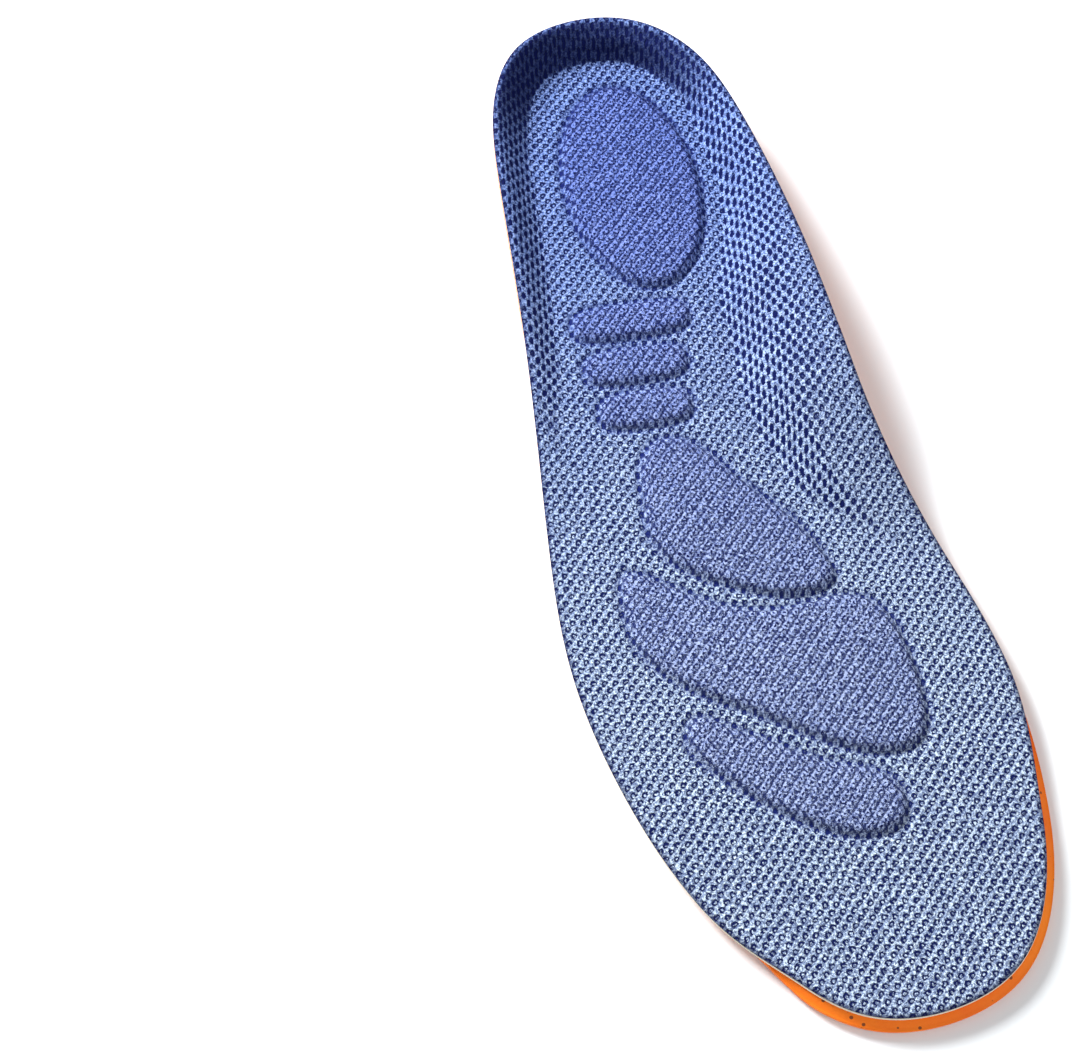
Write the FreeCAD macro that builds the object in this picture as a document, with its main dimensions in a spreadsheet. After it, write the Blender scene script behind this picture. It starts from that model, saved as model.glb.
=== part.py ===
"""Cushioned shoe insole for a right foot, lying the way it is worn.

The insole is a bonded stack.  From the ground up: a moulded base foam with a heel cup and an
arch support, a thin sheet of comfort foam, seven cushions on it, and a knitted top cover that
runs over everything and rises over each cushion.

Frame: +Z up, the toe points to -Y, the heel to +Y and the arch (inner side of the foot) to +X.
The origin is on the ground, under the middle of the insole's outline.  Millimetres.
"""
import FreeCAD, Part
import math
import os
import sys

doc = FreeCAD.newDocument("CushionedInsole")

# ---------------------------------------------------------------- driving dimensions

DIMENSIONS = [
    ("insole_length", 280.0),
    ("insole_width", 102.0),
    ("heel_thickness", 9.0),
    ("forefoot_thickness", 6.0),
    ("toe_thickness", 5.6),
    ("heel_rim_height", 17.0),
    ("arch_rim_height", 21.0),
    ("cover_thickness", 0.8),
    ("comfort_thickness", 1.0),
    ("glue_gap", 0.15),
    ("rim_edge_thickness", 3.2),
    ("cushion_rise", 1.5),
    ("drape_outside", 2.6),
    ("drape_inside", 2.2),
    ("groove_width", 1.2),
    ("groove_depth", 0.8),
    ("column_height", 40.0),
]

sheet = doc.addObject("Spreadsheet::Sheet", "Sizes")
for row, (alias, value) in enumerate(DIMENSIONS, start=1):
    sheet.set("A%d" % row, alias)
    sheet.set("B%d" % row, str(value))
    sheet.setAlias("B%d" % row, alias)
doc.recompute()


def size(alias):
    """A driving dimension, read from the sheet."""
    return float(getattr(sheet, alias))


LENGTH = size("insole_length")
WIDTH = size("insole_width")
ALONG = LENGTH / 280.0          # every place along the foot scales with the length
ACROSS = WIDTH / 102.0          # every place across it scales with the width


# ---------------------------------------------------------------- plan shapes

# Rim of the insole, clockwise from the back of the heel: (across, along).
RIM = [
    (2, 140), (20, 135), (32.5, 120), (37.5, 98), (39, 68), (39.2, 36), (39.6, 10), (43, -14),
    (48, -40), (51, -68), (48.5, -96), (41, -119), (28, -134.5), (8.5, -140), (-12, -135.5),
    (-28, -119.5), (-41, -95), (-49, -64), (-51, -36), (-47.5, -7), (-42, 22), (-37, 50),
    (-33, 77), (-29.7, 100), (-24.5, 121), (-13.5, 136),
]

# Pad under the metatarsal bones: a rounded triangle with its point towards the arch.
METATARSAL = [
    (-12, 16), (-3.5, 12.5), (4, 1), (12, -11), (18, -25), (18.2, -31), (11, -33), (-4, -27.5),
    (-17, -17.5), (-21.5, -9), (-20, 4), (-17, 13),
]

# Pad under the ball of the foot: a broad bow that widens towards the big toe.
BALL = [
    (-31, -16), (-25, -19), (-12, -29.5), (3, -35.5), (19.5, -36.8), (25.5, -40.5), (28.7, -53),
    (28, -67), (23.5, -76), (16, -76.7), (3, -70.3), (-11, -59), (-26, -47), (-33.5, -35),
    (-33.5, -23),
]

# Pad under the toes: a slimmer bow in front of it.
TOE = [
    (-26.5, -56.2), (-20, -59.5), (-10.5, -66.7), (1, -75.5), (10.5, -80.2), (15, -86), (13, -93),
    (6, -94.6), (-6, -89.5), (-18, -79), (-26.5, -68), (-29.5, -60),
]

# Pad under the heel: an oval, given by its middle, half sizes and lean.
HEEL_MIDDLE = (4.5, 89.7)
HEEL_HALF_LENGTH = 31.5
HEEL_HALF_WIDTH = 17.7
HEEL_LEAN_DEG = -4.0

# Three short bars between heel and arch: middle and length of each.
BARS = [
    ("midfoot_bar_rear", (-8.4, 50.5), 30.5),
    ("midfoot_bar_middle", (-11.0, 38.0), 26.5),
    ("midfoot_bar_front", (-12.3, 25.5), 23.5),
]
BAR_WIDTH = 9.6
BAR_LEAN_DEG = -7.5
BAR_SQUARENESS = 3.2            # exponent of the rounded rectangle; 2 would be an ellipse


def scaled(points):
    """Plan points at the insole's real length and width."""
    return [FreeCAD.Vector(x * ACROSS, y * ALONG, 0) for x, y in points]


def round_closed(middle, half_x, half_y, lean_deg, power=2.0, count=16):
    """Points of a closed superellipse; a power of 2 gives a plain ellipse."""
    lean = math.radians(lean_deg)
    points = []
    for step in range(count):
        angle = -2 * math.pi * step / count
        c = math.cos(angle)
        s = math.sin(angle)
        x = half_x * math.copysign(abs(c) ** (2.0 / power), c)
        y = half_y * math.copysign(abs(s) ** (2.0 / power), s)
        points.append((middle[0] + x * math.cos(lean) - y * math.sin(lean),
                       middle[1] + x * math.sin(lean) + y * math.cos(lean)))
    return points


def closed_spline(vectors):
    curve = Part.BSplineCurve()
    curve.interpolate(vectors, PeriodicFlag=True)
    return curve


rim_samples = closed_spline(scaled(RIM)).discretize(Number=480)


def signed_depth(samples, x, y):
    """Distance from a closed clockwise outline, positive inside it."""
    count = len(samples) - 1
    nearest = min(range(count), key=lambda k: (samples[k].x - x) ** 2 + (samples[k].y - y) ** 2)
    best = 1e9
    for start in ((nearest - 1) % count, nearest):
        a = samples[start]
        step = samples[start + 1] - a
        part = ((x - a.x) * step.x + (y - a.y) * step.y) / (step.x ** 2 + step.y ** 2)
        part = min(1.0, max(0.0, part))
        gap = math.hypot(a.x + part * step.x - x, a.y + part * step.y - y)
        if gap < best:
            best = gap
            side = step.x * (y - a.y) - step.y * (x - a.x)
    return -best if side > 0 else best


CUSHIONS = [("heel_cushion", round_closed(HEEL_MIDDLE, HEEL_HALF_WIDTH, HEEL_HALF_LENGTH, HEEL_LEAN_DEG))]
for bar_name, bar_middle, bar_length in BARS:
    bar_points = round_closed(bar_middle, bar_length / 2, BAR_WIDTH / 2, BAR_LEAN_DEG, BAR_SQUARENESS)
    CUSHIONS.append((bar_name, bar_points))
CUSHIONS.append(("metatarsal_cushion", METATARSAL))
CUSHIONS.append(("ball_cushion", BALL))
CUSHIONS.append(("toe_cushion", TOE))


# ---------------------------------------------------------------- height of the layers

def ramp(y, knots):
    """Smooth value along the foot through a few (place along, value) knots, heel first."""
    if y >= knots[0][0]:
        return knots[0][1]
    for (y0, v0), (y1, v1) in zip(knots, knots[1:]):
        if y >= y1:
            part = (y0 - y) / (y0 - y1)
            return v0 + (v1 - v0) * part * part * (3 - 2 * part)
    return knots[-1][1]


BED = [(60, size("heel_thickness")), (-30, size("forefoot_thickness")), (-140, size("toe_thickness"))]
BED_FALL_AT_ARCH = 0.8          # the bed has dropped this far where the arch rim is highest
HEEL_RISE = size("heel_rim_height") - size("heel_thickness")
ARCH_RISE = size("arch_rim_height") - size("heel_thickness") + BED_FALL_AT_ARCH
INNER_RISE = [(115, HEEL_RISE), (45, ARCH_RISE), (28, ARCH_RISE), (-38, 0)]
OUTER_RISE = [(105, HEEL_RISE), (-5, 0)]
INNER_WALL = [(115, 9), (86, 12), (42, 25), (18, 28), (-2, 26), (-40, 6)]
OUTER_WALL = [(115, 10), (-5, 9)]
UNDERCUT = [(60, 8.5), (0, 7), (-45, 3)]
ARCH_UNDERCUT = [(80, 8.5), (30, 15), (-5, 12), (-45, 3)]
FOOT_REACH = 0.45               # the arch wall is steep over this part of its width, from its foot
FOOT_SHARE = 0.5                # and gains this share of its height there
ARCH_SIDE_MIDDLE = 3 * ACROSS   # where outer and arch side meet
ARCH_SIDE_BLEND = 24 * ACROSS   # and the width over which they blend
CURL_POWER = 2.2                # how late the underside curls up towards the rim
LEAST_CURL = 0.4                # the rim's edge is at least this far off the ground
SUNK = 0.4                      # the ground surface runs this far under the flat sole, so they cross cleanly


def inner_share(x, y):
    """0 on the outer side of the foot, 1 on the arch side, blended over the middle."""
    part = min(1.0, max(0.0, (x - ARCH_SIDE_MIDDLE) / ARCH_SIDE_BLEND + 0.5))
    return part * part * (3 - 2 * part)


def top_height(x, y):
    """Top of the cover: a flat bed with a rim wall that fades out towards the forefoot."""
    along = y / ALONG
    share = inner_share(x, y)
    rise = ramp(along, OUTER_RISE) * (1 - share) + ramp(along, INNER_RISE) * share
    wall = ramp(along, OUTER_WALL) * (1 - share) + ramp(along, INNER_WALL) * share
    part = min(1.0, max(0.0, 1 - signed_depth(rim_samples, x, y) / wall))
    even = part * part * (3 - 2 * part)
    part = min(1.0, part / FOOT_REACH)
    early = part * part * (3 - 2 * part)
    return ramp(along, BED) + rise * (even + (early - even) * FOOT_SHARE * share)


def ground_height(x, y):
    """Underside: flat on the ground, curling up to the thin edge of the rim."""
    along = y / ALONG
    share = inner_share(x, y)
    reach = ramp(along, UNDERCUT) * (1 - share) + ramp(along, ARCH_UNDERCUT) * share
    part = min(1.0, max(0.0, 1 - signed_depth(rim_samples, x, y) / reach))
    stack = size("cover_thickness") + size("comfort_thickness") + 2 * size("glue_gap")
    curl = max(LEAST_CURL, top_height(x, y) - stack - size("rim_edge_thickness"))
    return (curl + SUNK) * part ** CURL_POWER - SUNK


# ---------------------------------------------------------------- grid over the outline

CORNERS = (2, 11, 15, 24)       # rim points where the grid's four sides meet
ACROSS_STEPS = 38
ALONG_STEPS = 104


def rim_stretch(first, last, steps):
    """Evenly spaced points of the rim from one rim point on to another, clockwise."""
    curve = closed_spline(scaled(RIM))
    start = curve.parameter(scaled(RIM)[first])
    end = curve.parameter(scaled(RIM)[last])
    if end < start:
        curve_end = curve.LastParameter
        head = curve.discretize(Number=200, First=start, Last=curve_end)
        tail = curve.discretize(Number=200, First=curve.FirstParameter, Last=end)
        line = head + tail[1:]
    else:
        line = curve.discretize(Number=400, First=start, Last=end)
    reach = [0.0]
    for a, b in zip(line, line[1:]):
        reach.append(reach[-1] + a.distanceToPoint(b))
    points = []
    k = 0
    for step in range(steps + 1):
        target = reach[-1] * step / steps
        while k < len(line) - 2 and reach[k + 1] < target:
            k += 1
        part = (target - reach[k]) / (reach[k + 1] - reach[k])
        points.append(line[k] + (line[k + 1] - line[k]) * part)
    return points


inner_side = rim_stretch(CORNERS[0], CORNERS[1], ALONG_STEPS)
toe_side = rim_stretch(CORNERS[1], CORNERS[2], ACROSS_STEPS)
outer_side = rim_stretch(CORNERS[2], CORNERS[3], ALONG_STEPS)
heel_side = rim_stretch(CORNERS[3], CORNERS[0], ACROSS_STEPS)
outer_side.reverse()
toe_side.reverse()


def plan_point(i, j):
    """Grid point i steps from the outer side and j steps from the heel, blended from the four sides."""
    u = i / ACROSS_STEPS
    v = j / ALONG_STEPS
    ends = heel_side[i] * (1 - v) + toe_side[i] * v
    sides = outer_side[j] * (1 - u) + inner_side[j] * u
    heel_chord = heel_side[0] * (1 - u) + heel_side[-1] * u
    toe_chord = toe_side[0] * (1 - u) + toe_side[-1] * u
    return ends + sides - heel_chord * (1 - v) - toe_chord * v


PLAN = [[plan_point(i, j) for j in range(ALONG_STEPS + 1)] for i in range(ACROSS_STEPS + 1)]


def grid_values(height):
    return [[height(p.x, p.y) for p in line] for line in PLAN]


def drape_height(x, y):
    """How far the cover stands up over the nearest cushion."""
    outside = size("drape_outside")
    whole = outside + size("drape_inside")
    best = 0.0
    for samples in cushion_samples:
        part = min(1.0, max(0.0, (signed_depth(samples, x, y) + outside) / whole))
        best = max(best, part * part * (3 - 2 * part))
    return best * size("cushion_rise")


cushion_samples = [closed_spline(scaled(points)).discretize(Number=90) for name, points in CUSHIONS]
TOP = grid_values(top_height)
GROUND = grid_values(ground_height)
DRAPE = grid_values(drape_height)


# ---------------------------------------------------------------- layer surfaces

COVER = size("cover_thickness")
COMFORT = size("comfort_thickness")
GLUE = size("glue_gap")


def layer_face(heights, shift, drape=0.0):
    """Smooth face over the whole outline, through the grid heights moved up by shift."""
    rows = []
    for i, line in enumerate(PLAN):
        rows.append([FreeCAD.Vector(p.x, p.y, heights[i][j] + shift + drape * DRAPE[i][j])
                     for j, p in enumerate(line)])
    surface = Part.BSplineSurface()
    surface.interpolate(rows)
    return surface.toShape()


def layer_feature(name, face):
    feature = doc.addObject("Part::Feature", name)
    feature.Shape = face
    return feature


def swept(name, source, expression, downwards=False):
    """Solid swept straight up, or down, from a face or a sketch."""
    solid = doc.addObject("Part::Extrusion", name)
    solid.Base = source
    solid.DirMode = "Custom"
    solid.Dir = FreeCAD.Vector(0, 0, -1 if downwards else 1)
    solid.Solid = True
    solid.setExpression("LengthFwd", expression)
    return solid


def outline_sketch(name, points):
    sketch = doc.addObject("Sketcher::SketchObject", name)
    sketch.addGeometry(closed_spline(scaled(points)), False)
    return sketch


def combine(kind, name, base, tool):
    feature = doc.addObject(kind, name)
    feature.Base = base
    feature.Tool = tool
    return feature


base_top_face = layer_face(TOP, -COVER - COMFORT - 2 * GLUE)
comfort_face = layer_feature("ComfortUnderside", layer_face(TOP, -COVER - COMFORT - GLUE))
comfort_top_face = layer_feature("ComfortTopside", layer_face(TOP, -COVER - GLUE))
cushion_face = layer_feature("CushionTopside", layer_face(TOP, -COVER - GLUE, 1.0))
cover_face = layer_feature("CoverUnderside", layer_face(TOP, -COVER, 1.0))

parts = {}
parts["comfort_foam"] = swept("ComfortFoam", comfort_face, "Sizes.comfort_thickness")
parts["top_cover"] = swept("TopCover", cover_face, "Sizes.cover_thickness")


# ---------------------------------------------------------------- cushions

above_limit = swept("UnderCushionTops", cushion_face, "Sizes.column_height", True)
below_limit = swept("UnderCushionFeet", comfort_top_face, "Sizes.column_height", True)
for node, points in CUSHIONS:
    stem = "".join(word.capitalize() for word in node.split("_"))
    column = swept(stem + "Column", outline_sketch(stem + "Outline", points), "Sizes.column_height")
    crown = combine("Part::Common", stem + "Crown", column, above_limit)
    parts[node] = combine("Part::Cut", stem, crown, below_limit)


# ---------------------------------------------------------------- base foam

def skirted_solid(top, bottom):
    """Closed solid between two faces over the same outline."""
    faces = [top, bottom]
    for upper in top.Edges:
        for lower in bottom.Edges:
            gap = upper.valueAt(upper.FirstParameter) - lower.valueAt(lower.FirstParameter)
            far = upper.valueAt(upper.LastParameter) - lower.valueAt(lower.LastParameter)
            if math.hypot(gap.x, gap.y) < 0.01 and math.hypot(far.x, far.y) < 0.01:
                faces.append(Part.makeRuledSurface(upper, lower))
    shell = Part.makeShell(faces)
    shell.sewShape()
    return Part.makeSolid(shell)


base_blank = layer_feature("BaseBlank", skirted_solid(base_top_face, layer_face(GROUND, 0.0)))
bench = doc.addObject("Part::Box", "Bench")
bench.setExpression("Length", "Sizes.insole_length * 2")
bench.setExpression("Width", "Sizes.insole_length * 2")
bench.setExpression("Height", "Sizes.column_height * 1.5")
bench.Placement = FreeCAD.Placement(FreeCAD.Vector(-LENGTH, -LENGTH, 0), FreeCAD.Rotation())
base_on_ground = combine("Part::Common", "BaseOnGround", base_blank, bench)

RINGS = [
    ("HeelRing", (3.5, 103.5), 15.0, 18.5, 0.0),
    ("ArchRingInner", (4.0, -8.0), 13.0, 8.5, 47.0),
    ("ArchRingOuter", (4.0, -8.5), 18.0, 14.5, 47.0),
]


def ring_groove(name, middle, half_x, half_y, lean_deg):
    """Oval channel in the sole: a low prism with a smaller one taken out of it."""
    half = size("groove_width") / 2
    rings = []
    for suffix, change in (("Outside", half), ("Inside", -half)):
        points = round_closed(middle, half_x + change, half_y + change, lean_deg)
        sketch = outline_sketch(name + suffix + "Line", points)
        ring = swept(name + suffix, sketch, "Sizes.groove_depth")
        ring.setExpression("LengthRev", "Sizes.groove_depth")
        rings.append(ring)
    return combine("Part::Cut", name, rings[0], rings[1])


grooved = base_on_ground
for ring in RINGS:
    grooved = combine("Part::Cut", "BaseWith" + ring[0], grooved, ring_groove(*ring))
parts["base_foam"] = grooved


# ---------------------------------------------------------------- check and write

for node, feature in parts.items():
    feature.Label = node
    feature.Placement = FreeCAD.Placement()
doc.recompute()

for item in doc.Objects:
    if "Invalid" in item.State or "Error" in item.State:
        sys.exit("%s failed: %s" % (item.Name, item.State))
for node, feature in parts.items():
    if feature.Shape.isNull() or not feature.Shape.isValid():
        sys.exit("%s has no valid shape" % node)

os.makedirs("parts", exist_ok=True)
for node, feature in parts.items():
    feature.Shape.exportStep("parts/%s.step" % node)
    print("%-20s %d solid(s), %d faces, %.1f mm3" % (
        node, len(feature.Shape.Solids), len(feature.Shape.Faces), feature.Shape.Volume))
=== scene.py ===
"""Cushioned insole: knitted blue cover over foam pads on a moulded orange foam base.

Metres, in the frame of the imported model: +Z up, the toe points to -Y, the arch side is +X.
Plan sizes below are in millimetres, and MM turns them into metres.
"""
import math
import bpy
import numpy as np
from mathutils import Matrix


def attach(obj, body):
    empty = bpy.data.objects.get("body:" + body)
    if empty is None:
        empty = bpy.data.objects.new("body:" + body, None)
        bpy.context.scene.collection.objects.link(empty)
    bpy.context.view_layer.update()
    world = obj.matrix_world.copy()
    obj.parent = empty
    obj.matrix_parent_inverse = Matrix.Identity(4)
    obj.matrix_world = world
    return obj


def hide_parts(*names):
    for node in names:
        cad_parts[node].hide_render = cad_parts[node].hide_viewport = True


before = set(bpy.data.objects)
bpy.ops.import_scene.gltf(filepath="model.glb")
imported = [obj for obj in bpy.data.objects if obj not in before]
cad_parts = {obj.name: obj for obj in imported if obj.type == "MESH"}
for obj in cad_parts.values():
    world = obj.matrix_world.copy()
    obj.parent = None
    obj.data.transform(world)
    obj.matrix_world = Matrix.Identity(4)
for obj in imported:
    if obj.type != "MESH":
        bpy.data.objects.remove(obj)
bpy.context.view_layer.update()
MM = 0.001

# ---------------------------------------------------------------- plan shapes, as in the CAD

RIM = [
    (2, 140), (20, 135), (32.5, 120), (37.5, 98), (39, 68), (39.2, 36), (39.6, 10), (43, -14),
    (48, -40), (51, -68), (48.5, -96), (41, -119), (28, -134.5), (8.5, -140), (-12, -135.5),
    (-28, -119.5), (-41, -95), (-49, -64), (-51, -36), (-47.5, -7), (-42, 22), (-37, 50),
    (-33, 77), (-29.7, 100), (-24.5, 121), (-13.5, 136),
]
METATARSAL = [
    (-12, 16), (-3.5, 12.5), (4, 1), (12, -11), (18, -25), (18.2, -31), (11, -33), (-4, -27.5),
    (-17, -17.5), (-21.5, -9), (-20, 4), (-17, 13),
]
BALL = [
    (-31, -16), (-25, -19), (-12, -29.5), (3, -35.5), (19.5, -36.8), (25.5, -40.5), (28.7, -53),
    (28, -67), (23.5, -76), (16, -76.7), (3, -70.3), (-11, -59), (-26, -47), (-33.5, -35),
    (-33.5, -23),
]
TOE = [
    (-26.5, -56.2), (-20, -59.5), (-10.5, -66.7), (1, -75.5), (10.5, -80.2), (15, -86), (13, -93),
    (6, -94.6), (-6, -89.5), (-18, -79), (-26.5, -68), (-29.5, -60),
]
HEEL = ((4.5, 89.7), 17.7, 31.5, -4.0)
BARS = [
    ("midfoot_bar_rear", (-8.4, 50.5), 30.5),
    ("midfoot_bar_middle", (-11.0, 38.0), 26.5),
    ("midfoot_bar_front", (-12.3, 25.5), 23.5),
]
BAR_WIDTH = 9.6
BAR_LEAN_DEG = -7.5
BAR_SQUARENESS = 3.2


def round_closed(middle, half_x, half_y, lean_deg, power=2.0, count=16):
    """Points of a closed superellipse; a power of 2 gives a plain ellipse."""
    lean = math.radians(lean_deg)
    points = []
    for step in range(count):
        angle = -2 * math.pi * step / count
        c = math.cos(angle)
        s = math.sin(angle)
        x = half_x * math.copysign(abs(c) ** (2.0 / power), c)
        y = half_y * math.copysign(abs(s) ** (2.0 / power), s)
        points.append((middle[0] + x * math.cos(lean) - y * math.sin(lean),
                       middle[1] + x * math.sin(lean) + y * math.cos(lean)))
    return points


def closed_spline(points, steps):
    """Smooth closed curve through points, with steps samples on each span; last sample = first."""
    p = np.array(points, float)
    count = len(p)
    span = np.linalg.norm(np.roll(p, -1, 0) - p, axis=1)
    matrix = np.zeros((count, count))
    right = np.zeros((count, 2))
    for k in range(count):
        before = span[k - 1]
        after = span[k]
        matrix[k, k - 1] = after
        matrix[k, k] = 2 * (before + after)
        matrix[k, (k + 1) % count] = before
        rise_before = (p[k] - p[k - 1]) / before
        rise_after = (p[(k + 1) % count] - p[k]) / after
        right[k] = 3 * (after * rise_before + before * rise_after)
    slope = np.linalg.solve(matrix, right)
    line = []
    for k in range(count):
        n = (k + 1) % count
        for t in np.arange(steps) / steps:
            line.append(p[k] * (1 - 3 * t ** 2 + 2 * t ** 3) + p[n] * (3 * t ** 2 - 2 * t ** 3)
                        + slope[k] * span[k] * (t - 2 * t ** 2 + t ** 3)
                        + slope[n] * span[k] * (t ** 3 - t ** 2))
    line.append(p[0])
    return np.array(line)


def nearest_on(line, x, y):
    """Distance from points to a polyline, and on which side: positive to the right of its run."""
    best = np.full(x.shape, 1e9)
    side = np.ones(x.shape)
    for a, b in zip(line, line[1:]):
        step = b - a
        part = ((x - a[0]) * step[0] + (y - a[1]) * step[1]) / max(step @ step, 1e-12)
        part = np.clip(part, 0, 1)
        gap = np.hypot(a[0] + part * step[0] - x, a[1] + part * step[1] - y)
        nearer = gap < best
        best = np.where(nearer, gap, best)
        cross = step[0] * (y - a[1]) - step[1] * (x - a[0])
        side = np.where(nearer, np.where(cross > 0, -1.0, 1.0), side)
    return best, side


def depth_in(line, x, y):
    """Distance from a closed clockwise outline, positive inside it."""
    gap, side = nearest_on(line, x, y)
    return gap * side


def smooth(part):
    part = np.clip(part, 0, 1)
    return part * part * (3 - 2 * part)


def ramp(y, knots):
    """Smooth value along the foot through (place, value) knots, heel first."""
    value = np.full(y.shape, float(knots[-1][1]))
    for (y0, v0), (y1, v1) in reversed(list(zip(knots, knots[1:]))):
        value = np.where(y >= y1, v0 + (v1 - v0) * smooth((y0 - y) / (y0 - y1)), value)
    return np.where(y >= knots[0][0], knots[0][1], value)


# ---------------------------------------------------------------- heights, as in the CAD

COVER = 0.8
COMFORT = 1.0
GLUE = 0.15
EDGE = 3.2
CUSHION_RISE = 1.5
BAR_RISE = 1.0
BED = [(60, 9), (-30, 6), (-140, 5.6)]
HEEL_RISE = 8
ARCH_RISE = 12.8
INNER_RISE = [(115, HEEL_RISE), (45, ARCH_RISE), (28, ARCH_RISE), (-38, 0)]
OUTER_RISE = [(105, HEEL_RISE), (-5, 0)]
INNER_WALL = [(115, 9), (86, 12), (42, 25), (18, 28), (-2, 26), (-40, 6)]
OUTER_WALL = [(115, 10), (-5, 9)]
UNDERCUT = [(60, 8.5), (0, 7), (-45, 3)]
ARCH_UNDERCUT = [(80, 8.5), (30, 15), (-5, 12), (-45, 3)]
FOOT_REACH = 0.45
FOOT_SHARE = 0.5
CURL_POWER = 2.2
LEAST_CURL = 0.4
SUNK = 0.4

RIM_STEPS = 14                  # samples on each span of the rim
CUSHION_STEPS = 6
ARCH_SIDE_MIDDLE = 3            # the arch side's share is one half here
ARCH_SIDE_BLEND = 24            # and goes from 0 to 1 over this width

rim_line = closed_spline(RIM, RIM_STEPS)


def inner_share(x):
    """0 on the outer side of the foot, 1 on the arch side."""
    return smooth((x - ARCH_SIDE_MIDDLE) / ARCH_SIDE_BLEND + 0.5)


def top_height(x, y, depth):
    share = inner_share(x)
    rise = ramp(y, OUTER_RISE) * (1 - share) + ramp(y, INNER_RISE) * share
    wall = ramp(y, OUTER_WALL) * (1 - share) + ramp(y, INNER_WALL) * share
    part = np.clip(1 - depth / wall, 0, 1)
    even = smooth(part)
    return ramp(y, BED) + rise * (even + (smooth(part / FOOT_REACH) - even) * FOOT_SHARE * share)


def rise_rate(x, y, depth):
    """How steeply the rim wall climbs, as height over run."""
    share = inner_share(x)
    rise = ramp(y, OUTER_RISE) * (1 - share) + ramp(y, INNER_RISE) * share
    wall = ramp(y, OUTER_WALL) * (1 - share) + ramp(y, INNER_WALL) * share
    part = np.clip(1 - depth / wall, 0, 1)
    early = np.clip(part / FOOT_REACH, 0, 1)
    even_rate = part * (1 - part)
    early_rate = early * (1 - early) / FOOT_REACH
    return 6 * rise / wall * (even_rate + (early_rate - even_rate) * FOOT_SHARE * share)


def ground_height(x, y, depth):
    share = inner_share(x)
    reach = ramp(y, UNDERCUT) * (1 - share) + ramp(y, ARCH_UNDERCUT) * share
    part = np.clip(1 - depth / reach, 0, 1)
    curl = np.maximum(LEAST_CURL, top_height(x, y, depth) - COVER - COMFORT - 2 * GLUE - EDGE)
    return np.maximum((curl + SUNK) * part ** CURL_POWER - SUNK, 0)


# ---------------------------------------------------------------- cushions

CUSHIONS = [("heel_cushion", round_closed(*HEEL))]
for bar_name, bar_middle, bar_length in BARS:
    CUSHIONS.append((bar_name, round_closed(bar_middle, bar_length / 2, BAR_WIDTH / 2,
                                            BAR_LEAN_DEG, BAR_SQUARENESS)))
CUSHIONS.append(("metatarsal_cushion", METATARSAL))
CUSHIONS.append(("ball_cushion", BALL))
CUSHIONS.append(("toe_cushion", TOE))
cushion_lines = [(name, closed_spline(points, CUSHION_STEPS)) for name, points in CUSHIONS]

FLANK_OUT = 0.8                 # the cover leaves the bed this far outside a cushion's edge
FLANK_IN = 1.5                  # and is on top of the cushion this far inside it
CROWN_REACH = 15.0              # a cushion's crown keeps rising this far in from its edge
FLANK_SHARE = 0.95              # how much of a cushion's height its flank climbs
CROWN_SHARE = 0.3               # and how much its crown adds
CREASE_DEPTH = 0.6              # pressed line where the cover is bonded down round a cushion
CREASE_WIDTH = 0.8


def pad_height(name):
    return BAR_RISE if "bar" in name else CUSHION_RISE


def pad_rise(x, y, line, height):
    """How far one cushion lifts what lies on it: a flank, then a slow crown."""
    depth = depth_in(line, x, y)
    flank = smooth((depth + FLANK_OUT) / (FLANK_OUT + FLANK_IN))
    crown = smooth((depth + FLANK_OUT) / (CROWN_REACH + FLANK_OUT))
    return height * (FLANK_SHARE * flank + CROWN_SHARE * crown), depth


# ---------------------------------------------------------------- grid over the outline

# Rim points that are the four corners of the grid.
HEEL_INNER = 2
TOE_INNER = 11
TOE_OUTER = 15
HEEL_OUTER = 24


def side_points(first, last, steps):
    """Evenly spaced points of the rim from one rim point on to another, clockwise."""
    line = rim_line[:-1]
    start = first * RIM_STEPS
    span = (last - first) % len(RIM) * RIM_STEPS
    run = np.array([line[(start + k) % len(line)] for k in range(span + 1)])
    reach = np.concatenate([[0], np.cumsum(np.linalg.norm(np.diff(run, axis=0), axis=1))])
    at = np.linspace(0, reach[-1], steps + 1)
    return np.stack([np.interp(at, reach, run[:, 0]), np.interp(at, reach, run[:, 1])], 1)


def plan_grid(across, along):
    """Grid of plan points, (across + 1) x (along + 1), blended from four stretches of the rim."""
    inner = side_points(HEEL_INNER, TOE_INNER, along)
    toe = side_points(TOE_INNER, TOE_OUTER, across)[::-1]
    outer = side_points(TOE_OUTER, HEEL_OUTER, along)[::-1]
    heel = side_points(HEEL_OUTER, HEEL_INNER, across)
    u = np.linspace(0, 1, across + 1)[:, None, None]
    v = np.linspace(0, 1, along + 1)[None, :, None]
    ends = heel[:, None] * (1 - v) + toe[:, None] * v
    sides = outer[None] * (1 - u) + inner[None] * u
    heel_chord = heel[0] * (1 - u) + heel[-1] * u
    toe_chord = toe[0] * (1 - u) + toe[-1] * u
    return ends + sides - heel_chord * (1 - v) - toe_chord * v


def rim_gap(plan):
    """Distance of a grid's points from the rim, exactly 0 along the grid's four edges."""
    depth = np.maximum(depth_in(rim_line, plan[..., 0], plan[..., 1]), 0)
    depth[0] = 0
    depth[-1] = 0
    depth[:, 0] = 0
    depth[:, -1] = 0
    return depth


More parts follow.
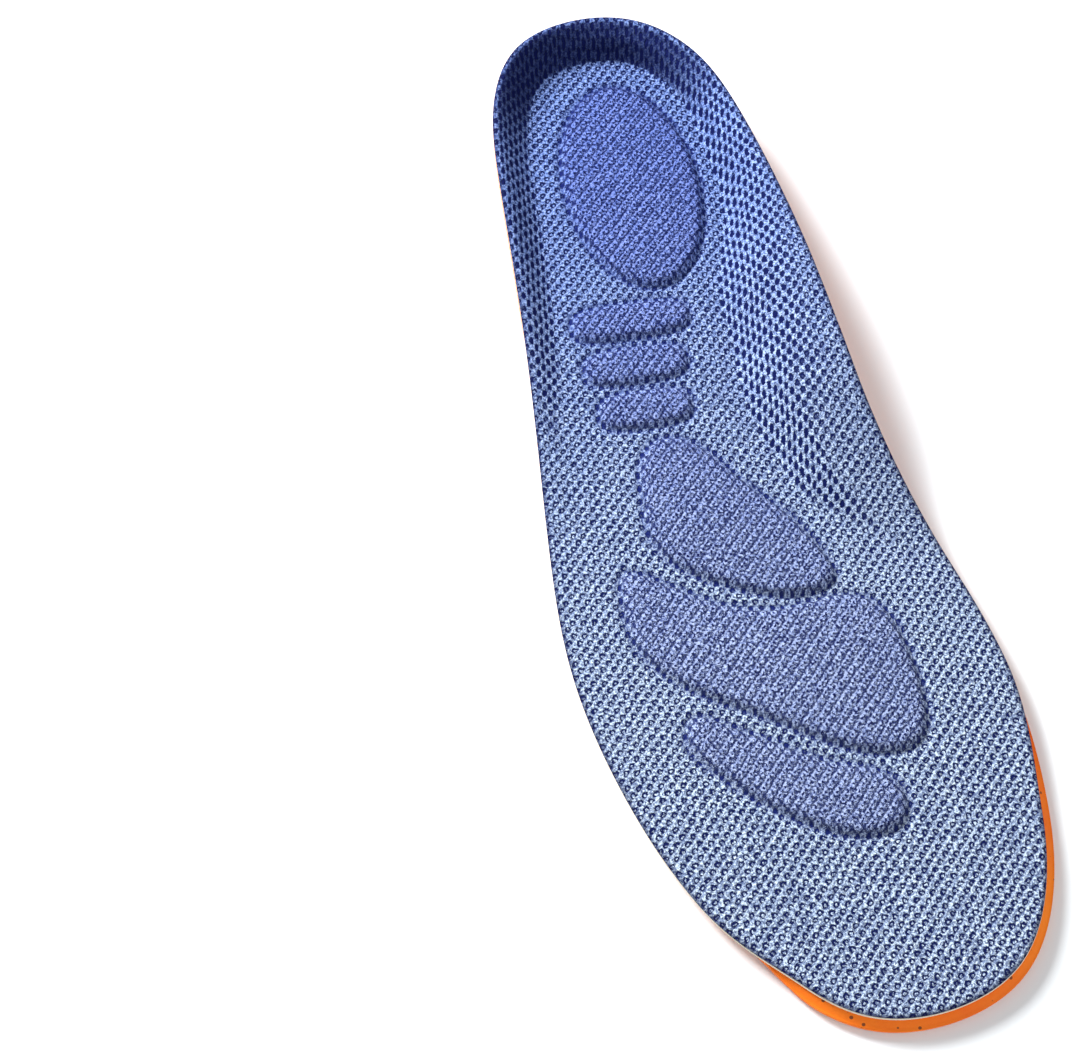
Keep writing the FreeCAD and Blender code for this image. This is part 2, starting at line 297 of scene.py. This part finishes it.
TOE_MIDDLE = (3.0, -88.0)
TRIM_REACH = 14.0               # a trimmed edge moves the layer this far in from the rim
COVER_TRIM = 2.6                # the cover stops this short of the rim round the toe
COMFORT_TRIM = 2.4
BASE_TUCK = 2.4                 # the base's outer side is tucked in under the cover by this
TOE_START = -62                 # the toe's share grows from here towards the toe
TOE_BLEND = 40
TOE_SIDE = -40                  # and from here towards the arch side
TOE_SIDE_BLEND = 16
TUCK_SIDE = -20                 # the tuck grows from here towards the outer side
TUCK_SIDE_BLEND = 14
TUCK_START = 60                 # and from here towards the toe
TUCK_BLEND = 50


def toe_edge(x, y):
    """1 round the toe, where the foam stands out from under the cover, 0 elsewhere."""
    return smooth((TOE_START - y) / TOE_BLEND) * smooth((x - TOE_SIDE) / TOE_SIDE_BLEND)


def trimmed(plan, depth, toe=0.0, outer=0.0):
    """Plan with its edge moved in by toe mm round the toe, and by outer mm on the outer side."""
    x = plan[..., 0]
    y = plan[..., 1]
    near = np.clip(1 - depth / TRIM_REACH, 0, 1)
    toe_share = toe_edge(x, y) * near * toe
    outer_share = smooth((TUCK_SIDE - x) / TUCK_SIDE_BLEND) * smooth((TUCK_START - y) / TUCK_BLEND)
    outer_share = outer_share * near * outer
    gap = np.stack([TOE_MIDDLE[0] - x, TOE_MIDDLE[1] - y], -1)
    gap /= np.maximum(np.linalg.norm(gap, axis=-1), 1)[..., None]
    moved = plan + gap * toe_share[..., None]
    moved[..., 0] += outer_share
    return moved


def new_object(name, verts, faces, material, smooth_shade=True):
    mesh = bpy.data.meshes.new(name)
    mesh.from_pydata([tuple(v) for v in verts], [], faces)
    mesh.validate()
    mesh.polygons.foreach_set("use_smooth", [smooth_shade] * len(mesh.polygons))
    mesh.materials.append(material)
    mesh.update()
    piece = bpy.data.objects.new(name, mesh)
    bpy.context.scene.collection.objects.link(piece)
    return piece


def add_attribute(piece, name, values):
    """Number on each vertex of a slab's top and underside; its edge rows get the rim's value."""
    layer = piece.data.attributes.new(name, "FLOAT", "POINT")
    flat = values.ravel()
    numbers = np.full(len(piece.data.vertices), flat[0])
    numbers[:flat.size] = flat
    numbers[flat.size:2 * flat.size] = flat
    layer.data.foreach_set("value", numbers)


EDGE_ROWS = 5                   # rows of points down a slab's edge
EDGE_BULGE = 0.12               # and how far the edge bulges halfway down


def slab(name, plan, top, bottom, material):
    """Closed solid over the plan grid: top and bottom heights, joined by a slightly bulging edge."""
    rows, columns = top.shape
    loop = [(i, 0) for i in range(rows)]
    loop += [(rows - 1, j) for j in range(1, columns)]
    loop += [(i, columns - 1) for i in range(rows - 2, -1, -1)]
    loop += [(0, j) for j in range(columns - 2, 0, -1)]
    i_loop = np.array([p[0] for p in loop])
    j_loop = np.array([p[1] for p in loop])
    outline = plan[i_loop, j_loop]
    tangent = np.roll(outline, -1, 0) - np.roll(outline, 1, 0)
    tangent /= np.linalg.norm(tangent, axis=1)[:, None]
    outward = np.stack([tangent[:, 1], -tangent[:, 0]], 1)
    if np.sum(outward * (outline - outline.mean(0))) < 0:
        outward = -outward
    count = rows * columns
    index = np.arange(count).reshape(rows, columns)
    ring_top = index[i_loop, j_loop]
    verts = [np.concatenate([plan.reshape(-1, 2), top.reshape(-1, 1)], 1)]
    verts.append(np.concatenate([plan.reshape(-1, 2), bottom.reshape(-1, 1)], 1))
    rings = [ring_top]
    high = top[i_loop, j_loop]
    low = bottom[i_loop, j_loop]
    for k in range(EDGE_ROWS):
        part = (k + 1) / (EDGE_ROWS + 1)
        z = high + (low - high) * part
        bulge = EDGE_BULGE * math.sin(math.pi * part)
        verts.append(np.concatenate([outline + outward * bulge, z[:, None]], 1))
        rings.append(2 * count + k * len(loop) + np.arange(len(loop)))
    rings.append(count + ring_top)
    a = index[:-1, :-1].ravel()
    b = index[1:, :-1].ravel()
    c = index[1:, 1:].ravel()
    d = index[:-1, 1:].ravel()
    faces = np.stack([a, d, c, b], 1).tolist()
    faces += (np.stack([a, b, c, d], 1) + count).tolist()
    for upper_ring, lower_ring in zip(rings, rings[1:]):
        quads = np.stack([upper_ring, np.roll(upper_ring, -1),
                          np.roll(lower_ring, -1), lower_ring], 1)
        faces += quads.tolist()
    return new_object(name, np.concatenate(verts) * MM, faces, material)


# ---------------------------------------------------------------- material helpers

class Nodes:
    """Short calls that add shader nodes to one material."""

    def __init__(self, name):
        self.material = bpy.data.materials.new(name)
        self.material.use_nodes = True
        self.tree = self.material.node_tree
        self.tree.nodes.clear()
        self.output = self.tree.nodes.new("ShaderNodeOutputMaterial")
        self.shader = self.tree.nodes.new("ShaderNodeBsdfPrincipled")
        self.link(self.shader.outputs[0], self.output.inputs["Surface"])
        coordinates = self.tree.nodes.new("ShaderNodeTexCoord")
        self.place = coordinates.outputs["Object"]

    def link(self, source, target):
        self.tree.links.new(source, target)

    def put(self, value, socket):
        if isinstance(value, bpy.types.NodeSocket):
            self.link(value, socket)
        elif hasattr(value, "__len__") and len(value) == 3 and len(socket.default_value) == 4:
            socket.default_value = (*value, 1.0)
        else:
            socket.default_value = value

    def math(self, operation, a, b=None):
        node = self.tree.nodes.new("ShaderNodeMath")
        node.operation = operation
        self.put(a, node.inputs[0])
        if b is not None:
            self.put(b, node.inputs[1])
        return node.outputs[0]

    def vector(self, operation, a, b=None, scale=None):
        node = self.tree.nodes.new("ShaderNodeVectorMath")
        node.operation = operation
        self.put(a, node.inputs[0])
        if b is not None:
            self.put(b, node.inputs[1])
        if scale is not None:
            self.put(scale, node.inputs["Scale"])
        return node.outputs["Vector"]

    def split(self, vector):
        node = self.tree.nodes.new("ShaderNodeSeparateXYZ")
        self.put(vector, node.inputs[0])
        return node.outputs

    def band(self, value, low, high, to_low=0.0, to_high=1.0):
        """Smooth step from to_low to to_high as value goes from low to high."""
        node = self.tree.nodes.new("ShaderNodeMapRange")
        node.interpolation_type = "SMOOTHSTEP"
        for socket, number in zip(node.inputs[:5], (value, low, high, to_low, to_high)):
            self.put(number, socket)
        return node.outputs[0]

    def noise(self, vector, scale, detail=2.0, roughness=0.5):
        node = self.tree.nodes.new("ShaderNodeTexNoise")
        self.put(vector, node.inputs["Vector"])
        node.inputs["Scale"].default_value = scale
        node.inputs["Detail"].default_value = detail
        node.inputs["Roughness"].default_value = roughness
        return node.outputs["Fac"]

    def speckle(self, vector, scale):
        node = self.tree.nodes.new("ShaderNodeTexVoronoi")
        self.put(vector, node.inputs["Vector"])
        node.inputs["Scale"].default_value = scale
        return node.outputs["Distance"], node.outputs["Color"]

    def mix(self, factor, a, b, mode="MIX"):
        node = self.tree.nodes.new("ShaderNodeMix")
        node.data_type = "RGBA"
        node.blend_type = mode
        self.put(factor, node.inputs[0])
        self.put(a, node.inputs[6])
        self.put(b, node.inputs[7])
        return node.outputs[2]

    def bump(self, height, distance, strength):
        node = self.tree.nodes.new("ShaderNodeBump")
        node.inputs["Strength"].default_value = strength
        node.inputs["Distance"].default_value = distance
        self.put(height, node.inputs["Height"])
        return node.outputs[0]

    def attribute(self, name):
        node = self.tree.nodes.new("ShaderNodeAttribute")
        node.attribute_name = name
        return node.outputs["Fac"]

    def set(self, **sockets):
        for name, value in sockets.items():
            self.put(value, self.shader.inputs[name.replace("_", " ")])


# ---------------------------------------------------------------- knitted cover material

PITCH_ACROSS = 2.65
PITCH_ROWS = 1.75
KNIT_TURN_DEG = -14.0
# Colours at the heel and at the toes: the threads, the mesh between them, and the eyelets. The
# darker heel colours are partly the fabric's own colour and partly painted shade, where less light
# falls on the heel.
THREAD = ((0.15, 0.25, 0.60), (0.31, 0.41, 0.61))
THREAD_LIGHT = ((0.34, 0.46, 0.86), (0.72, 0.86, 0.97))
MESH_BLUE = ((0.028, 0.055, 0.27), (0.075, 0.125, 0.33))
# Dark navy of the eyelets and of dark flecks in the threads; also the colour of the painted shadow
# in the eyelets and of the painted shade on the wall behind the heel.
HOLE_AND_SHADE = (0.003, 0.007, 0.07)
# Painted shade in the crease round each cushion.
CREASE_SHADE_COLOUR = (0.008, 0.018, 0.17)
CUT_COLOUR = (0.006, 0.008, 0.06)
PAD_TONE = (0.66, 0.66, 0.85)   # the colour over the cushions is multiplied by this
STRETCH_NARROW = 0.65           # on a steep wall the holes get narrower
STRETCH_TALL = 0.38             # and taller
STRETCHED_HOLE_SHRINK = 0.07
GRAIN_PER_MM = 1.5              # roughness of the eyelets' edges
STRAND_PER_MM = 2.0             # broken filaments in the threads
STITCH_NOISE = 5.4              # how far the stitches are broken up
KNIT_BUMP = 0.0006
KNIT_ROUGHNESS = 0.78
FOAM_BUMP = 0.00012


def knit_material():
    n = Nodes("knit_blue")
    mm = n.vector("SCALE", n.place, scale=1000.0)

    def drift(scale, amount):
        node = n.tree.nodes.new("ShaderNodeTexNoise")
        n.put(mm, node.inputs["Vector"])
        node.inputs["Scale"].default_value = scale
        node.inputs["Detail"].default_value = 1.0
        centred = n.vector("SUBTRACT", node.outputs["Color"], (0.5, 0.5, 0.5))
        return n.vector("SCALE", centred, scale=amount)

    moved = n.vector("ADD", mm, drift(0.16, 0.9))
    moved = n.vector("ADD", moved, drift(1.2, 0.5))
    turn = math.radians(KNIT_TURN_DEG)
    x, y = n.split(moved)[:2]
    across = n.math("ADD", n.math("MULTIPLY", x, math.cos(turn)),
                    n.math("MULTIPLY", y, math.sin(turn)))
    along = n.math("SUBTRACT", n.math("MULTIPLY", y, math.cos(turn)),
                   n.math("MULTIPLY", x, math.sin(turn)))
    u = n.math("DIVIDE", across, PITCH_ACROSS)
    v = n.math("DIVIDE", along, 2 * PITCH_ROWS)
    pad = n.attribute("pad")
    steep = n.attribute("steep")

    def cell(shift):
        du = n.math("SUBTRACT", n.math("FRACT", n.math("ADD", u, shift)), 0.5)
        dv = n.math("SUBTRACT", n.math("FRACT", n.math("ADD", v, shift)), 0.5)
        dx = n.math("MULTIPLY", du, PITCH_ACROSS)
        dy = n.math("MULTIPLY", dv, 2 * PITCH_ROWS)
        wide = n.math("MULTIPLY", dx, n.math("ADD", 1.0, n.math("MULTIPLY", steep, STRETCH_NARROW)))
        taller = n.math("SUBTRACT", 1.0, n.math("MULTIPLY", steep, STRETCH_TALL))
        high = n.math("MULTIPLY", dy, taller)
        gap = n.math("SQRT", n.math("ADD", n.math("MULTIPLY", wide, wide),
                                    n.math("MULTIPLY", high, high)))
        return dx, dy, gap

    dx_a, dy_a, gap_a = cell(0.0)
    dx_b, dy_b, gap_b = cell(0.5)
    first = n.math("LESS_THAN", gap_a, gap_b)

    def chosen(a, b):
        return n.math("ADD", b, n.math("MULTIPLY", n.math("SUBTRACT", a, b), first))

    dx = chosen(dx_a, dx_b)
    dy = chosen(dy_a, dy_b)
    radius = chosen(gap_a, gap_b)
    grain = n.math("SUBTRACT", n.noise(mm, GRAIN_PER_MM, 2.0, 0.6), 0.5)
    rough = n.math("ADD", radius, grain)
    rough = n.math("ADD", rough, n.math("MULTIPLY", steep, STRETCHED_HOLE_SHRINK))
    # Eyelet: a dark hole with a tuft of the layer below in it, and a painted shadow of the threads
    # over the side away from the light, so a dark arc is left, open on the lit side. Where the knit
    # is stretched the tuft and the lit side are gone and the whole hole is dark.
    hole = n.band(rough, 0.70, 0.82, 1.0, 0.0)
    core = n.band(rough, 0.26, 0.44, 1.0, 0.0)
    toward_lit_side = n.math("SUBTRACT", dx, dy)
    lit_side = n.math("MULTIPLY", n.band(toward_lit_side, 0.35, 0.8), 0.75)
    tuft_and_lit_side = n.math("MAXIMUM", core, lit_side)
    tuft_and_lit_side = n.math("MULTIPLY", tuft_and_lit_side, n.band(steep, 0.1, 0.5, 1.0, 0.0))
    shadowed_hole = n.math("MULTIPLY", hole, n.math("SUBTRACT", 1.0, tuft_and_lit_side))
    shadowed_hole = n.math("MULTIPLY", shadowed_hole, n.math("SUBTRACT", 1.0, n.math("MULTIPLY", pad, 0.25)))
    # Net of threads between the eyelets, with broken filaments in it.
    net = n.math("MAXIMUM", n.band(rough, 0.76, 1.0), n.math("MULTIPLY", tuft_and_lit_side, 0.9))
    strand = n.noise(mm, STRAND_PER_MM, 2.0, 0.7)
    bright = n.math("MULTIPLY", n.band(strand, 0.50, 0.57), n.band(net, 0.0, 1.0, 0.4, 1.0))
    dark = n.band(strand, 0.41, 0.48, 1.0, 0.0)
    # Blend from the heel colours to the toe colours: partly fabric colour, partly painted shade that
    # darkens the knit towards the heel.
    toward_toe = n.band(n.split(mm)[1], 110.0, -60.0)
    thread = n.mix(toward_toe, *THREAD)
    light = n.mix(toward_toe, *THREAD_LIGHT)
    mesh = n.mix(toward_toe, *MESH_BLUE)
    colour = n.mix(net, mesh, thread)
    colour = n.mix(n.math("MULTIPLY", bright, 0.9), colour, light)
    worn = n.noise(mm, 0.05, 2.0, 0.5)
    colour = n.mix(n.band(worn, 0.35, 0.7, 0.0, 0.2), colour, thread)
    colour = n.mix(n.math("MULTIPLY", dark, 0.5), colour, HOLE_AND_SHADE)
    # Painted shadow over the side of each eyelet away from the light.
    colour = n.mix(shadowed_hole, colour, HOLE_AND_SHADE)
    # Stitches half as wide as the eyelets: gaps between the threads, everywhere but strongest
    # over the cushions, where the knit is pressed flat and the eyelets close.
    stitch = 4 * math.pi
    weave = n.math("MULTIPLY", n.math("COSINE", n.math("MULTIPLY", u, stitch)),
                   n.math("COSINE", n.math("MULTIPLY", v, stitch)))
    weave = n.math("ADD", weave, n.math("MULTIPLY", grain, STITCH_NOISE))
    raised = n.band(weave, -0.9, -0.4, 0.45, 0.0)
    colour = n.mix(n.math("MULTIPLY", pad, raised), colour, light)
    gaps = n.math("MULTIPLY", n.band(weave, 0.3, 0.6), net)
    colour = n.mix(n.math("MULTIPLY", gaps, n.band(pad, 0.0, 1.0, 0.62, 0.97)), colour, HOLE_AND_SHADE)
    tone = n.mix(pad, (1.0, 1.0, 1.0), PAD_TONE)
    colour = n.mix(1.0, colour, tone, "MULTIPLY")
    # Painted shade on the steep wall behind the heel, which faces away from the key light: it is
    # darkened towards the dark navy.
    rear_wall_shade = n.math("MULTIPLY", n.band(n.split(mm)[1], 100.0, 126.0), n.band(steep, 0.25, 0.8))
    colour = n.mix(n.math("MULTIPLY", rear_wall_shade, 0.84), colour, HOLE_AND_SHADE)
    # Painted shade in the crease where the cover is pressed down round a cushion, and a darker band
    # along its cut edge.
    colour = n.mix(n.math("MULTIPLY", n.attribute("crease"), 0.42), colour, CREASE_SHADE_COLOUR)
    colour = n.mix(n.math("MULTIPLY", n.attribute("edge"), 0.75), colour, CUT_COLOUR)
    height = n.math("SUBTRACT", n.math("MULTIPLY", net, 0.6), n.math("MULTIPLY", shadowed_hole, 0.8))
    height = n.math("ADD", height, n.math("MULTIPLY", strand, 0.6))
    n.set(Base_Color=colour, Roughness=KNIT_ROUGHNESS, Normal=n.bump(height, KNIT_BUMP, 0.9))
    n.set(Sheen_Weight=0.01, Sheen_Roughness=0.5)
    n.shader.inputs["Specular IOR Level"].default_value = 0.06
    return n.material


# ---------------------------------------------------------------- foam materials

def foam_material(name, light, deep, speck_amount):
    n = Nodes(name)
    mm = n.vector("SCALE", n.place, scale=1000.0)
    cloud = n.noise(mm, 0.03, 3.0, 0.55)
    colour = n.mix(n.band(cloud, 0.3, 0.72), light, deep)
    blotch = n.noise(mm, 0.35, 3.0, 0.6)
    colour = n.mix(n.band(blotch, 0.35, 0.75, 0.0, 0.25), colour, light)
    pore = n.noise(mm, 3.2, 3.0, 0.7)
    colour = n.mix(n.band(pore, 0.5, 0.8, 0.0, 0.22), colour, deep)
    if speck_amount:
        gap, shade = n.speckle(mm, 0.42)
        red = n.split(shade)[0]
        size = n.band(red, 0.35, 1.0, 0.0, 0.19)
        speck = n.math("LESS_THAN", gap, size)
        colour = n.mix(n.math("MULTIPLY", speck, speck_amount), colour, (0.09, 0.03, 0.01))
        gap_fine, shade_fine = n.speckle(mm, 1.0)
        green = n.split(shade_fine)[1]
        fine = n.math("LESS_THAN", gap_fine, n.band(green, 0.72, 1.0, 0.0, 0.2))
        colour = n.mix(n.math("MULTIPLY", fine, speck_amount * 0.6), colour, (0.24, 0.07, 0.01))
    skin = n.noise(mm, 6.0, 3.0, 0.7)
    height = n.math("ADD", n.math("MULTIPLY", pore, 0.6), n.math("MULTIPLY", skin, 0.4))
    n.set(Base_Color=colour, Roughness=n.band(pore, 0.3, 0.7, 0.62, 0.8),
          Normal=n.bump(height, FOAM_BUMP, 0.8))
    n.shader.inputs["Specular IOR Level"].default_value = 0.35
    return n.material


knit = knit_material()
orange_foam = foam_material("foam_orange", (1.0, 0.235, 0.004), (0.94, 0.14, 0.002), 0.85)
pale_foam = foam_material("foam_pale", (0.86, 0.80, 0.66), (0.78, 0.70, 0.54), 0.0)
pad_foam = foam_material("foam_pad", (0.82, 0.80, 0.74), (0.74, 0.71, 0.64), 0.0)

# ---------------------------------------------------------------- layers

ACROSS_STEPS = 150
ALONG_STEPS = 420
FAR = 1e3                       # farther than any point of the insole
EDGE_DROP = 0.35                # the cover's top edge is rounded down by this
EDGE_DROP_REACH = 1.2
FLANK_MIDDLE = 0.4              # a cushion's flank, where the knit is stretched
FLANK_WIDTH = 1.6
FLANK_STRETCH = 0.7
PAD_BLEND = 1.6                 # width over which the knit changes at a cushion's edge
STEEP_RATE = 0.75               # wall slope at which the knit is fully stretched
CUT_WIDTH = 1.3                 # dark band along the cover's cut edge
COVER_GAP = 0.05                # least room between the cover and the comfort foam
plan = plan_grid(ACROSS_STEPS, ALONG_STEPS)
X = plan[..., 0]
Y = plan[..., 1]
rim_depth = rim_gap(plan)
top = top_height(X, Y, rim_depth)

lift = np.zeros(top.shape)
pad_depth = np.full(top.shape, -FAR)
for name, line in cushion_lines:
    rise, depth = pad_rise(X, Y, line, pad_height(name))
    lift = np.maximum(lift, rise)
    pad_depth = np.maximum(pad_depth, depth)
crease = np.exp(-((pad_depth + FLANK_OUT) / CREASE_WIDTH) ** 2)
flank_share = np.exp(-((pad_depth - FLANK_MIDDLE) / FLANK_WIDTH) ** 2) * FLANK_STRETCH

cover_top = top + lift - crease * CREASE_DEPTH
cover_bottom = cover_top - COVER
cover_top -= EDGE_DROP * (1 - smooth(rim_depth / EDGE_DROP_REACH))
cover = slab("insole_cover", trimmed(plan, rim_depth, toe=COVER_TRIM), cover_top, cover_bottom, knit)
steep = smooth(rise_rate(X, Y, rim_depth) / STEEP_RATE)
add_attribute(cover, "pad", smooth(pad_depth / PAD_BLEND + 0.5))
add_attribute(cover, "steep", np.maximum(steep, flank_share))
add_attribute(cover, "edge", 1 - smooth(rim_depth / CUT_WIDTH))
add_attribute(cover, "crease", crease)
comfort_top = np.minimum(top - COVER - GLUE, cover_bottom - COVER_GAP)
comfort = slab("insole_comfort", trimmed(plan, rim_depth, toe=COMFORT_TRIM), comfort_top,
               comfort_top - COMFORT, pale_foam)

# ---------------------------------------------------------------- underside of the base

# Flex lines.  Nearly every point is the output of a scratch script that mapped places picked by
# eye on the photograph into millimetres; they have not been redrawn by hand.
GROOVES = [
    [(-19, 32.6), (-24.8, 21.5), (-29.2, 9.5), (-32.3, -2.2), (-33.9, -14.4), (-33, -27.7),
     (-29.9, -43.8), (-23.5, -61.8), (-21.9, -76.4), (-24.5, -89), (-34.5, -107.8)],
    [(-21, 25), (-26.2, 6.3), (-27, -3.9), (-26.7, -13.8), (-25, -23), (-21, -35.4),
     (-15.8, -53.2), (-7.7, -77.7), (-5.8, -103), (-10.5, -135)],
    [(-16.2, 31.2), (-19.4, 0.3), (-17.5, -14.2), (-12.8, -27.8), (-4.5, -49.3), (0.5, -62.9),
     (9.9, -93), (20.6, -137.7)],
    [(-47.7, -13.9), (-33.5, -14.8), (-16.8, -14.3)],
    [(-49.6, -40), (-33, -27.7), (-24.8, -23.8), (-15.4, -20)],
    [(-46.2, -66), (-29.9, -43.8), (-20, -34.2), (-12.7, -28.2)],
    [(-39.9, -94), (-23.5, -61.8), (-8.9, -36.6)],
    [(-26, -122), (-8.7, -72.4), (-3.1, -53.7)],
    [(-2.1, -49.6), (16.4, -55.2), (33.7, -57), (48.9, -58.2)],
    [(3, -62), (7.2, -67), (34.4, -86.5)],
    [(-3.5, -30), (3.2, -30.9), (9.9, -30.4), (17.2, -28.2), (25, -23.2)],
    [(-6.6, -37.5), (6.4, -40.2), (16.3, -39.9), (27.2, -36.5), (37.1, -30)],
]
# Ring grooves: middle, half sizes and lean in degrees.
RINGS = [
    ((3.5, 103.5), 15.0, 18.5, 0.0),
    ((4.0, -8.0), 13.0, 8.5, 47.0),
    ((4.0, -8.5), 18.0, 14.5, 47.0),
]
GROOVE_HALF_WIDTH = 0.75
GROOVE_DEPTH = 0.7


GROOVE_STEPS = 8


def open_spline(points):
    """Smooth line through a few points."""
    p = np.array(points, float)
    before = np.vstack([2 * p[0] - p[1], p[:-1]])
    after = np.vstack([p[1:], 2 * p[-1] - p[-2]])
    slope = (after - before) / 2
    line = []
    for k in range(len(p) - 1):
        for t in np.arange(GROOVE_STEPS) / GROOVE_STEPS:
            line.append(p[k] * (1 - 3 * t ** 2 + 2 * t ** 3) + p[k + 1] * (3 * t ** 2 - 2 * t ** 3)
                        + slope[k] * (t - 2 * t ** 2 + t ** 3) + slope[k + 1] * (t ** 3 - t ** 2))
    line.append(p[-1])
    return np.array(line)


BASE_ACROSS = 220
BASE_ALONG = 620
BASE_GAP = 0.1                  # extra room under the comfort foam
TOE_DROP = 1.3                  # the base's top edge is rounded down by this round the toe
TOE_DROP_REACH = 3.0
TOE_DROP_POWER = 1.5
base_plan = plan_grid(BASE_ACROSS, BASE_ALONG)
BX = base_plan[..., 0]
BY = base_plan[..., 1]
base_depth = rim_gap(base_plan)
groove_gap = np.full(BX.shape, FAR)
for points in GROOVES:
    groove_gap = np.minimum(groove_gap, nearest_on(open_spline(points), BX, BY)[0])
for middle, half_x, half_y, lean in RINGS:
    ring = closed_spline(round_closed(middle, half_x, half_y, lean), CUSHION_STEPS)
    groove_gap = np.minimum(groove_gap, nearest_on(ring, BX, BY)[0])
sole = ground_height(BX, BY, base_depth)
sole = sole + GROOVE_DEPTH * smooth(1 - groove_gap / (2 * GROOVE_HALF_WIDTH))
base_upper = top_height(BX, BY, base_depth) - COVER - COMFORT - 2 * GLUE - BASE_GAP
toe_round = (1 - smooth(base_depth / TOE_DROP_REACH)) ** TOE_DROP_POWER
base_upper -= toe_edge(BX, BY) * TOE_DROP * toe_round
base = slab("insole_base", trimmed(base_plan, base_depth, outer=BASE_TUCK), base_upper, sole,
            orange_foam)

# ---------------------------------------------------------------- pads between the layers

PAD_STEPS = 14
PAD_GAP = 0.12                  # room under a pad
PAD_EDGE_SHARE = 0.35           # a pad is this share of the rise at its edge
PAD_DOME_SHARE = 0.6            # and this much more inside PAD_EDGE_WIDTH
PAD_EDGE_WIDTH = 2.0


def pad_piece(name, line):
    """Low domed pad: rings of the outline shrinking towards its middle."""
    outline = line[:-1][::-1]
    middle = outline.mean(0)
    verts = []
    rings = []
    for side in (1, 0):
        for k in range(PAD_STEPS):
            shrink = k / PAD_STEPS
            points = outline + (middle - outline) * shrink
            depth = np.maximum(depth_in(line, points[:, 0], points[:, 1]), 0)
            rim = np.maximum(depth_in(rim_line, points[:, 0], points[:, 1]), 0)
            foot = top_height(points[:, 0], points[:, 1], rim) - COVER - GLUE
            rise = pad_rise(points[:, 0], points[:, 1], line, pad_height(name))[0]
            dome = PAD_EDGE_SHARE + PAD_DOME_SHARE * smooth(depth / PAD_EDGE_WIDTH)
            z = foot + PAD_GAP + (rise * dome - PAD_GAP) * side
            rings.append(len(verts) + np.arange(len(points)))
            verts += [(p[0], p[1], h) for p, h in zip(points, z)]
    faces = []
    half = len(rings) // 2
    for group, flip in ((rings[:half], False), (rings[half:], True)):
        for a, b in zip(group, group[1:]):
            quads = np.stack([a, np.roll(a, -1), np.roll(b, -1), b], 1)
            faces += (quads[:, ::-1] if flip else quads).tolist()
        faces.append(list(group[-1][::-1] if flip else group[-1]))
    side_quads = np.stack([rings[0], rings[half],
                           np.roll(rings[half], -1), np.roll(rings[0], -1)], 1)
    faces += side_quads.tolist()
    return new_object(name, np.array(verts) * MM, faces, pad_foam)


for name, line in cushion_lines:
    pad = pad_piece("pad_" + name, line)
    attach(pad, "root")
    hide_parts(name)

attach(base, "root")
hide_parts("base_foam")

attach(comfort, "root")
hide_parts("comfort_foam")

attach(cover, "root")
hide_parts("top_cover")

# ---------------------------------------------------------------- floor, light and camera

FLOOR_DROP = 0.0004             # keeps the floor from flickering against the flat sole
FLOOR_REACH = 3


def floor_material():
    n = Nodes("floor_white")
    tone = n.noise(n.place, 3.0, 2.0, 0.5)
    n.set(Base_Color=n.mix(tone, (0.86, 0.905, 0.935), (0.88, 0.925, 0.955)), Roughness=0.9)
    return n.material


corners = [(x * FLOOR_REACH, y * FLOOR_REACH, -FLOOR_DROP)
           for x, y in ((-1, -1), (1, -1), (1, 1), (-1, 1))]
floor = new_object("studio_floor", corners, [(0, 1, 2, 3)], floor_material(), False)

TURN_DEG = -16.8
TILT_DEG = 23.0
DISTANCE = 0.49325
AIM = (0.0467, -0.00495)
LENS = 65.0
SENSOR = 36
WORLD_LIGHT = 0.40


def in_frame(x, y):
    """A point of the photograph's upright floor frame, in the insole's frame."""
    turn = math.radians(TURN_DEG)
    return (x * math.cos(turn) - y * math.sin(turn), x * math.sin(turn) + y * math.cos(turn))


camera_data = bpy.data.cameras.new("camera")
camera_data.sensor_width = SENSOR
camera_data.lens = LENS
camera_data.clip_start = 0.01
camera = bpy.data.objects.new("camera", camera_data)
bpy.context.scene.collection.objects.link(camera)
tilt = math.radians(TILT_DEG)
back = in_frame(0.0, -DISTANCE * math.sin(tilt))
camera.location = (back[0] - AIM[0], back[1] - AIM[1], DISTANCE * math.cos(tilt))
camera.rotation_euler = (tilt, 0.0, math.radians(TURN_DEG))
bpy.context.scene.camera = camera


def area_light(name, place, size, power):
    """Soft square lamp aimed at the middle of the insole."""
    data = bpy.data.lights.new(name, "AREA")
    data.shape = "RECTANGLE"
    data.size = size
    data.size_y = size
    data.energy = power
    lamp = bpy.data.objects.new(name, data)
    bpy.context.scene.collection.objects.link(lamp)
    x, y = in_frame(place[0], place[1])
    lamp.location = (x, y, place[2])
    away = math.hypot(x, y)
    lamp.rotation_euler = (math.atan2(away, place[2]), 0.0, math.atan2(y, x) + math.pi / 2)


area_light("key", (-0.70, 0.66, 0.66), 0.40, 30.0)
area_light("fill", (0.6, -0.6, 0.8), 0.8, 4.0)

world = bpy.data.worlds.new("studio")
world.use_nodes = True
background = world.node_tree.nodes["Background"]
background.inputs["Color"].default_value = (1.0, 1.0, 1.0, 1.0)
background.inputs["Strength"].default_value = WORLD_LIGHT
bpy.context.scene.world = world
bpy.context.scene.view_settings.view_transform = "Standard"
